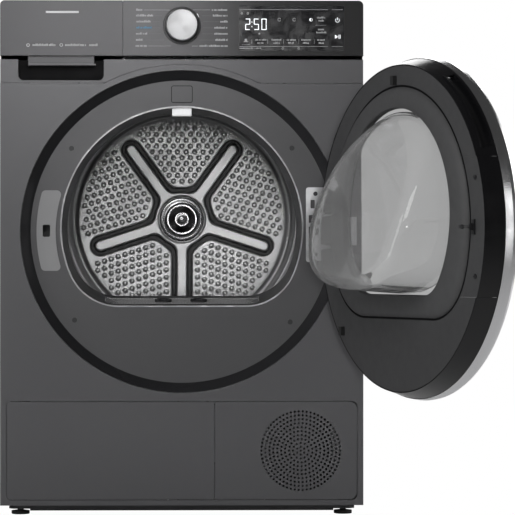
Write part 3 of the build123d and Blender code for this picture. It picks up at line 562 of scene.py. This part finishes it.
for k, (u, ln) in enumerate(((261.0, 11), (276.3, 9.5), (291.3, 9), (306.0, 9.5), (321.3, 8))):
    faint += words(u - ln / 2, u + ln / 2, 40.0, 1.25, 31 + k) + words(u - ln / 3, u + ln / 3, 43.2, 1.25, 41 + k)
faint += words(317.0, 325.0, 17.8, 1.3, 51) + words(318.5, 324.0, 20.8, 1.3, 52) + words(318.0, 324.0, 29.5, 1.3, 53) + words(316.4, 326.2, 32.6, 1.3, 54)
faint += words(239.6, 261.0, 48.4, 0.8, 55)
faint += [bar(243.6, 248.0, 41.2, 42.2), bar(244.6, 247.0, 38.9, 41.0)]
for u, w in ((282.8, 48.5), (298.8, 48.5)):
    faint += arc_band(u, w, 1.2, 1.9, 0, 360)
for u, w in ((241.8, 13.4), (247.8, 13.6)):
    faint += arc_band(u, w, 1.0, 1.8, 0, 360)
for u, w in ((279.3, 19.6), (294.3, 19.7)):
    faint += arc_band(u, w, 2.0, 2.8, 20, 340)
lit += arc_band(311.0, 19.7, 0.2, 2.7, 90, 270) + arc_band(311.0, 19.7, 2.1, 2.7, -90, 90)
lit += digit("2", 245.2, 250.2, 18.7, 30.0) + [bar(251.5, 252.2, 21.6, 22.6), bar(251.5, 252.2, 26.2, 27.2)] + digit("5", 253.8, 258.9, 18.7, 30.0) + digit("0", 261.4, 266.6, 18.7, 30.0)
faint += [bar(258.6, 260.2, 33.0, 34.4)]
lit += arc_band(337.5, 20.2, 2.9, 3.6, 125, 415) + [bar(337.25, 337.75, 17.4, 20.2)]
c = at(337.0, 36.7)
lit += [[(c[0] - 3.2, c[1] + 3.4), (c[0] + 1.6, c[1]), (c[0] - 3.2, c[1] - 3.4)], bar(338.6, 339.2, 34.7, 38.7), bar(339.9, 340.5, 34.7, 38.7)]
tick = at(197.2, 16.2)
lit += [[(tick[0] - 0.9, tick[1] + 4.2), (tick[0] + 0.2, tick[1] + 4.2), (tick[0] + 3.0, tick[1] - 1.6), (tick[0] + 1.9, tick[1] - 1.6)]]
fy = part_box("control_fascia")[0].y * 1000 - FRONT
prisms("marks_programmes", faint, fy - 0.10, fy + 0.04, MAT["mark_faint"], "cabinet", "satin_trim")
prisms("marks_hairlines", hair, fy - 0.09, fy + 0.04, MAT["mark_line"], "cabinet", "satin_trim")
prisms("marks_leaders", hair2, fy - 0.08, fy + 0.04, MAT["mark_dim"], "cabinet", "satin_trim")
prisms("marks_lit", lit, fy - 0.12, fy + 0.04, MAT["mark_lit"], "cabinet", "lamp_lens")
prisms("marks_selected", blue, fy - 0.10, fy + 0.04, MAT["mark_blue"], "cabinet", "lamp_lens")
dm = [bar(46.0, 79.0, 11.4, 13.4)]
small = arc_band(28.3, 45.5, 1.6, 3.0, 0, 360) + words(32.8, 55.6, 45.5, 1.7, 61) + arc_band(61.4, 45.3, 1.8, 2.9, 0, 360) + words(65.2, 86.0, 45.5, 1.7, 62) + words(89.3, 98.4, 45.5, 1.7, 63)
prisms("drawer_plain_bar", dm, fy - 0.25, fy + 0.04, MAT["mark_bar"], "tank_drawer", "satin_trim")
prisms("drawer_marks", small, fy - 0.10, fy + 0.04, MAT["mark_line"], "tank_drawer", "satin_trim")

# ------------------------------------------------------------------ kick panel grille
from mathutils.geometry import delaunay_2d_cdt


def grille():
    lo, hi = [c * 1000 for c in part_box("grille_panel")[0]], [c * 1000 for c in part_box("grille_panel")[1]]
    x0, x1, z0, z1 = lo[0], hi[0], lo[2], hi[2]
    outer = round_path([(x0, z0), (x1, z0), (x1, z1), (x0, z1)], [1.0, 12.5, 12.5, 1.0], 6)
    cx, cz = 194.8, 107.3
    pts = [Vector(p) for p in outer]
    edges = [(i, (i + 1) % len(outer)) for i in range(len(outer))]
    holes = [(cx, cz)]
    for k in range(1, 11):
        r = 6.45 * k
        n = int(round(2 * math.pi * r / 6.5))
        holes += [(cx + r * math.cos(2 * math.pi * (i + 0.5 * (k % 2)) / n), cz + r * math.sin(2 * math.pi * (i + 0.5 * (k % 2)) / n)) for i in range(n)]
    hr = 1.95
    for hx, hz in holes:
        b = len(pts)
        pts += [Vector((hx + hr * math.cos(2 * math.pi * i / 10), hz + hr * math.sin(2 * math.pi * i / 10))) for i in range(10)]
        edges += [(b + i, b + (i + 1) % 10) for i in range(10)]
    vo, _, fo, *_ = delaunay_2d_cdt(pts, edges, [], 1, 1e-6)
    H = np.array(holes)
    tri = []
    for t in fo:
        c = sum((Vector(vo[i]) for i in t), Vector((0, 0))) / len(t)
        if np.min(np.hypot(H[:, 0] - c.x, H[:, 1] - c.y)) > hr * 0.93:
            tri.append(list(t))
    n = len(vo)
    v = [(p[0], 0.02, p[1]) for p in vo] + [(p[0], 3.0, p[1]) for p in vo]
    f = list(tri) + [[i + n for i in reversed(t)] for t in tri]
    count = {}
    for t in tri:
        for i in range(len(t)):
            e = (t[i], t[(i + 1) % len(t)])
            count[tuple(sorted(e))] = count.get(tuple(sorted(e)), []) + [e]
    for e in count.values():
        if len(e) == 1:
            a, b = e[0]
            f.append([b, a, a + n, b + n])
    # returned edge behind the face
    m = len(v)
    inner = round_path([(x0 + 2, z0 + 2), (x1 - 2, z0 + 2), (x1 - 2, z1 - 2), (x0 + 2, z1 - 2)], [1.0, 11, 11, 1.0], 6)
    for q, yy in ((outer, 3.0), (outer, 12.0), (inner, 12.0), (inner, 3.0)):
        v += [(p[0], yy, p[1]) for p in q]
    L = len(outer)
    for s in range(4):
        for i in range(L):
            j = (i + 1) % L
            a, b = m + s * L, m + ((s + 1) % 4) * L
            f.append([a + i, a + j, b + j, b + i])
    ob = fix_normals(make("grille_pierced", v, f, MAT["front_paint"], "cabinet", slot="front_paint", replaces=("grille_panel",), smooth=None))
    return ob


grille()

# ------------------------------------------------------------------ door bowl, moulded clear
def round_max(a, b, r):
    return np.minimum(np.maximum(a, b), -r) + np.hypot(np.maximum(a + r, 0), np.maximum(b + r, 0))


BOWL_TOP, BOWL_DEEP = 8.2, 112.0


def bowl_f(x, y, z, d):
    """Below zero inside the bowl's outer skin (d = 0) or inner skin (d = wall)."""
    t = np.maximum(y - BOWL_TOP, 0)
    side = np.hypot(x, z - 488.0) - 163.0 + 0.16 * t
    low = (367.0 - z) + 0.05 * t
    o = round_max(side, low, 52.0)
    slope = (y - (98.0 - 0.40 * (z - 470.0) - 0.0016 * np.clip(z - 560, 0, 200) ** 2)) / math.hypot(1, 0.40)
    slope = round_max(slope, y - BOWL_DEEP, 30.0)
    return round_max(o + d, slope + d, 19.0)


def bowl_skin(d, nu=200, nv=56):
    az = 2 * math.pi * np.arange(nu) / nu
    el = (np.arange(nv) / (nv - 1)) ** 0.9 * math.pi / 2
    A, E = np.meshgrid(az, el, indexing="ij")
    dx, dz, dy = np.cos(A) * np.cos(E), np.sin(A) * np.cos(E), np.sin(E)
    lo, hi = np.zeros_like(A), np.full_like(A, 400.0)
    for _ in range(34):
        m = (lo + hi) / 2
        inside = bowl_f(m * dx, BOWL_TOP + m * dy, 462.0 + m * dz, d) < 0
        lo, hi = np.where(inside, m, lo), np.where(inside, hi, m)
    return np.stack([lo * dx, BOWL_TOP + lo * dy, 462.0 + lo * dz], 2)


def bowl():
    o, i = bowl_skin(0.0), bowl_skin(3.6)
    nu, nv, _ = o.shape
    v, f = [], []
    v = list(o.reshape(-1, 3)) + list(i.reshape(-1, 3))
    n = nu * nv
    for a in range(nu):
        b = (a + 1) % nu
        for k in range(nv - 1):
            f.append((a * nv + k, b * nv + k, b * nv + k + 1, a * nv + k + 1))
            f.append((n + a * nv + k, n + a * nv + k + 1, n + b * nv + k + 1, n + b * nv + k))
        f.append((a * nv, n + a * nv, n + b * nv, b * nv))
    ob = make("door_bowl_moulded", v, f, MAT["clear_glass"], "door", slot="clear_glass", door=True, replaces=("door_bowl",), smooth=60)
    bm = bmesh.new()
    bm.from_mesh(ob.data)
    bmesh.ops.remove_doubles(bm, verts=bm.verts, dist=2e-5)
    bmesh.ops.recalc_face_normals(bm, faces=bm.faces)
    bm.to_mesh(ob.data)
    bm.free()
    return ob


bowl()

def door_seal():
    a = opening_path(1.2, 160, R=163.0, flat=367.0, fil=55.0, cz=488.0)
    b = opening_path(13.0)
    prof = [(0.0, 12.0), (0.0, 19.6), (0.015, 20.8), (0.05, 21.4), (0.40, 21.9), (0.66, 21.6), (0.80, 20.6), (0.90, 18.6), (0.97, 15.8), (1.0, 14.05), (1.0, 12.0)]
    v, f = [], []
    n, m = len(a), len(prof)
    for p, q in zip(a, b):
        for s, y in prof:
            v.append((p[0] + (q[0] - p[0]) * s, y, p[1] + (q[1] - p[1]) * s))
    f = grid_faces(n, m, wrap_u=True, wrap_v=True)
    return fix_normals(make("door_seal_soft", v, f, MAT["seal_rubber"], "door", slot="seal_rubber", door=True, replaces=("door_seal",), smooth=50))


door_seal()
# painted shade: a near-black band in the gap between the seal and the door frame, where shade falls
a, b = opening_path(13.2), opening_path(16.4)
v = [(p[0], y, p[1]) for p, q in zip(a, b) for y in (14.02,)] + [(q[0], 14.06, q[1]) for q in b] + [(q[0], 12.8, q[1]) for q in b] + [(p[0], 12.8, p[1]) for p in a]
n = len(a)
f = [(k * n + i, k * n + (i + 1) % n, ((k + 1) % 4) * n + (i + 1) % n, ((k + 1) % 4) * n + i) for k in range(4) for i in range(n)]
fix_normals(make("seal_seat_groove", v, f, MAT["well_black"], "door", slot="black_plastic", door=True, smooth=None))

# ------------------------------------------------------------------ lint filter mesh and grips
def filter_mesh():
    """Fine woven mesh across the filter's top, as crossed wires, with two oval grips."""
    v, f = [], []

    def strip(x0, w0, x1, w1, half, lift):
        # runs from (x0, w0) to (x1, w1); w is 0 at the front edge and 1 at the back
        y = lambda w: 36.4 + w * 37.6
        zz = lambda w: 347.1 + w * 8.7 + lift
        d = np.array([x1 - x0, (w1 - w0) * 38.6])
        d = d / np.linalg.norm(d)
        n = np.array([-d[1], d[0]]) * half
        b = len(v)
        for (x, w) in ((x0, w0), (x1, w1)):
            for s in (-1, 1):
                v.append((x + s * n[0], y(w + s * n[1] / 38.6), zz(w) ))
        f.append((b, b + 1, b + 3, b + 2))

    pitch = 4.6
    k = -130.0
    while k < 130:
        a0, a1 = k, k + 24
        if a0 > -125 and a1 < 125:
            strip(a0, 0.0, a1, 1.0, 0.55, 0.0)
            strip(a1, 0.0, a0, 1.0, 0.55, 0.25)
        k += pitch
    for w in (0.0, 1.0):
        strip(-126, w, 126, w, 1.3, 0.5)
    ob = make("filter_mesh_wires", v, f, MAT["filter_wire"], "lint_filter", slot="filter_plastic", smooth=None)
    so = ob.modifiers.new("wire", "SOLIDIFY")
    so.thickness = 0.0005
    so.offset = 1
    grips_v, grips_f = [], []
    for cx in (-31.0, 28.0):
        for (a, b, lift0, lift1) in ((14.0, 4.2, 0.4, 2.6),):
            prof = [(1.0, lift0), (1.0, lift1), (0.9, lift1 + .5), (0.62, lift1 + .5), (0.55, lift1), (0.55, lift0)]
            m, N, base = len(prof), 40, len(grips_v)
            for i in range(N):
                t = 2 * math.pi * i / N
                c, s = math.cos(t), math.sin(t)
                c, s = math.copysign(abs(c) ** 0.6, c), math.copysign(abs(s) ** 0.8, s)
                for r, h in prof:
                    yy = 55.0 + s * (b * 2.3) * r
                    grips_v.append((cx + a * c * r, yy, 351.4 + (yy - 55.0) * 0.231 + h))
            for i in range(N):
                for k2 in range(m - 1):
                    j = (i + 1) % N
                    grips_f.append((base + i * m + k2, base + j * m + k2, base + j * m + k2 + 1, base + i * m + k2 + 1))
    fix_normals(make("filter_grips", grips_v, grips_f, MAT["black_plastic"], "lint_filter", slot="filter_plastic", smooth=40))


filter_mesh()

# ------------------------------------------------------------------ painted shade: near-black faces in the shadowed wells on the CAD pieces
def tint_faces(node, mat, test):
    ob = NODES[node]
    me = ob.data
    me.materials.append(mat)
    idx = len(me.materials) - 1
    for p in me.polygons:
        c = p.center
        if test(c.x * 1000, c.y * 1000 - FRONT, c.z * 1000, p.normal):
            p.material_index = idx


def shut(x, y):
    dx, dy = x - HX, y - HY
    c, s = math.cos(-OPEN), math.sin(-OPEN)
    return HX + dx * c - dy * s, HY + dx * s + dy * c


def on_rim(x, y, z, n):
    sx_, sy_ = shut(x, y)
    return math.hypot(sx_, z - DOOR_Z) > 249.5 and sy_ < 13.4


tint_faces("latch_side_cover", MAT["gloss_black"], on_rim)
v, f = lathe([(246.5, -14.0), (249.3, -14.0), (249.3, 10.8), (246.5, 10.8)], 0, DOOR_Z, 60, a0=math.pi - 0.5, a1=math.pi + 0.5)
m = len(v)
f += [(0, 1, 2, 3), (m - 4, m - 1, m - 2, m - 3)]
fix_normals(make("latch_cover_backing", v, f, MAT["gloss_black"], "door", slot="gloss_black", door=True, smooth=30))
# painted shade: the finger well in the upper trim and the gap under the fascia get near-black faces where shade falls
tint_faces("upper_trim", MAT["well_black"], lambda x, y, z, n: -268.4 < x < -127.3 and z > 713.0 and y > 1.0)
tint_faces("front_panel", MAT["well_black"], lambda x, y, z, n: z > 735 and y > 1.0)

def frame_ring(x0, x1, z0, z1, r, w, y0, y1, name, mat, body, slot):
    o = round_path([(x0, z0), (x1, z0), (x1, z1), (x0, z1)], r, 6)
    i_ = round_path([(x0 + w, z0 + w), (x1 - w, z0 + w), (x1 - w, z1 - w), (x0 + w, z1 - w)], max(r - w, 0.5), 6)
    v = [(p[0], y, p[1]) for q, y in ((o, y0), (i_, y0), (i_, y1), (o, y1)) for p in q]
    n = len(o)
    f = [(k * n + i, k * n + (i + 1) % n, ((k + 1) % 4) * n + (i + 1) % n, ((k + 1) % 4) * n + i) for k in range(4) for i in range(n)]
    return fix_normals(make(name, v, f, mat, body, slot=slot, smooth=None))


# painted shade: a thin near-black band in the seam gap around the lamp cover
frame_ring(-17.6, 17.6, 678.9, 707.2, 3.4, 1.0, 23.15, 23.9, "lamp_cover_seam", MAT["well_black"], "cabinet", "black_plastic")

# drawer lip: a bright edge across the finger well
v, f = [], []
lipx0, lipx1 = -250.5, -141.0
prof = [(-0.2, 738.8), (1.6, 737.9), (3.0, 738.6), (3.0, 740.6), (1.8, 741.4), (-0.2, 741.0)]
N = 40
for i in range(N + 1):
    x = lipx0 + (lipx1 - lipx0) * i / N
    v += [(x, y, z) for y, z in prof]
for i in range(N):
    for k in range(len(prof)):
        m = (k + 1) % len(prof)
        f.append((i * 6 + k, i * 6 + m, (i + 1) * 6 + m, (i + 1) * 6 + k))
f += [tuple(range(6)), tuple(N * 6 + k for k in reversed(range(6)))]
fix_normals(make("drawer_grip_edge", v, f, MAT["front_paint"], "tank_drawer", slot="front_paint", smooth=35))

# ------------------------------------------------------------------ stage
bpy.ops.mesh.primitive_plane_add(size=14, location=(0, 0, 0))
floor = bpy.context.object
floor.name = "floor"
fm = bpy.data.materials.new("floor_pale")
fm.use_nodes = True
fb = fm.node_tree.nodes["Principled BSDF"]
fb.inputs["Base Color"].default_value = (0.93, 0.93, 0.935, 1)
fb.inputs["Roughness"].default_value = 0.75
fn, fl = fm.node_tree.nodes, fm.node_tree.links
fe = fn.new("ShaderNodeEmission")
fe.inputs[0].default_value = (1, 1, 1, 1)
fe.inputs[1].default_value = 1.0
fx = fn.new("ShaderNodeMixShader")
fp = fn.new("ShaderNodeLightPath")
fmul = fn.new("ShaderNodeMath")
fmul.operation = "MAXIMUM"
fl.new(fp.outputs["Is Camera Ray"], fmul.inputs[0])
fmul.inputs[1].default_value = 0.0
fl.new(fmul.outputs[0], fx.inputs[0])
fl.new(fb.outputs[0], fx.inputs[1])
fl.new(fe.outputs[0], fx.inputs[2])
fl.new(fx.outputs[0], fn["Material Output"].inputs[0])
floor.data.materials.append(fm)

world = bpy.data.worlds.new("studio")
scene.world = world
world.use_nodes = True
wn, wl = world.node_tree.nodes, world.node_tree.links
wn.clear()
wo = wn.new("ShaderNodeOutputWorld")
bg1 = wn.new("ShaderNodeBackground")
bg1.inputs[0].default_value = (1, 1, 1, 1)
bg1.inputs[1].default_value = 1.0
bg2 = wn.new("ShaderNodeBackground")
bg2.inputs[0].default_value = (1, 1, 1, 1)
bg2.inputs[1].default_value = 0.05
lp = wn.new("ShaderNodeLightPath")
ms = wn.new("ShaderNodeMixShader")
wl.new(lp.outputs["Is Camera Ray"], ms.inputs[0])
bg3 = wn.new("ShaderNodeBackground")
bg3.inputs[0].default_value = (1, 1, 1, 1)
bg3.inputs[1].default_value = 0.50
ms2 = wn.new("ShaderNodeMixShader")
wl.new(lp.outputs["Is Transmission Ray"], ms2.inputs[0])
wl.new(ms.outputs[0], ms2.inputs[1])
wl.new(bg3.outputs[0], ms2.inputs[2])
wl.new(bg2.outputs[0], ms.inputs[1])
wl.new(bg1.outputs[0], ms.inputs[2])
wl.new(ms2.outputs[0], wo.inputs[0])


def area(name, loc, target, size, power, size_y=None):
    d = bpy.data.lights.new(name, "AREA")
    d.energy = power
    d.shape = "RECTANGLE"
    d.size = size
    d.size_y = size_y or size
    o = bpy.data.objects.new(name, d)
    scene.collection.objects.link(o)
    o.location = loc
    o.rotation_mode = "QUATERNION"
    o.rotation_quaternion = (Vector(target) - Vector(loc)).to_track_quat("-Z", "Y")
    return o


key_top = area("key_top", (-0.16, -1.4, 1.0), (-0.1, -0.3, 0.68), 0.5, 4.0)
key_left = area("key_left", (-1.35, -1.25, 0.6), (-0.2, -0.3, 0.42), 0.6, 7.2, 1.3)
over = area("overhead", (0.1, -0.1, 2.6), (0.0, 0.0, 0.4), 1.8, 10)
side_right = area("side_right", (1.9, 0.4, 0.9), (0.45, -0.4, 0.45), 0.9, 9, 1.4)
back_rim = area("back_rim", (0.6, 2.4, 1.6), (0.1, 0.0, 0.5), 1.8, 26)
ring_strip = area("ring_strip", (2.0, -2.1, 0.5), (0.49, -0.8, 0.47), 0.55, 16, 1.7)
ring_strip.visible_diffuse = False
over.visible_glossy = False
for o in (key_top, key_left, over, side_right, back_rim, ring_strip):
    o.visible_camera = False
    o.visible_transmission = False
sd = bpy.data.lights.new("drum_spot", "SPOT")
sd.energy = 400
sd.spot_size = math.radians(6.4)
sd.spot_blend = 0.5
sd.shadow_soft_size = 0.75
so = bpy.data.objects.new("drum_spot", sd)
scene.collection.objects.link(so)
so.location = (0.02, -4.4, 0.52)
so.rotation_mode = "QUATERNION"
so.rotation_quaternion = (Vector((0, 0.1, 0.49)) - Vector(so.location)).to_track_quat("-Z", "Y")

# ------------------------------------------------------------------ camera
DIST = 4200.0
FOCAL_PX = 0.6104 * DIST
SHIFT = 0.06
cd = bpy.data.cameras.new("camera")
cam = bpy.data.objects.new("camera", cd)
scene.collection.objects.link(cam)
cd.sensor_width = 36.0
cd.lens = FOCAL_PX / 515.0 * 36.0
cd.shift_x = SHIFT
eye = Vector(to_m([[0.0, -DIST, 413.3]])[0])
yaw = math.atan2(257.5 - 181.9 - SHIFT * 515.0, FOCAL_PX)
pitch = math.atan2(264.0 - 257.5, FOCAL_PX)
look = Vector((math.sin(yaw) * math.cos(pitch), math.cos(yaw) * math.cos(pitch), math.sin(pitch)))
cam.location = eye
cam.rotation_mode = "QUATERNION"
cam.rotation_quaternion = look.to_track_quat("-Z", "Y")
cd.clip_start, cd.clip_end = 0.05, 60
scene.camera = cam
scene.view_settings.view_transform = "Standard"
scene.view_settings.look = "None"
scene.view_settings.exposure = 0.0
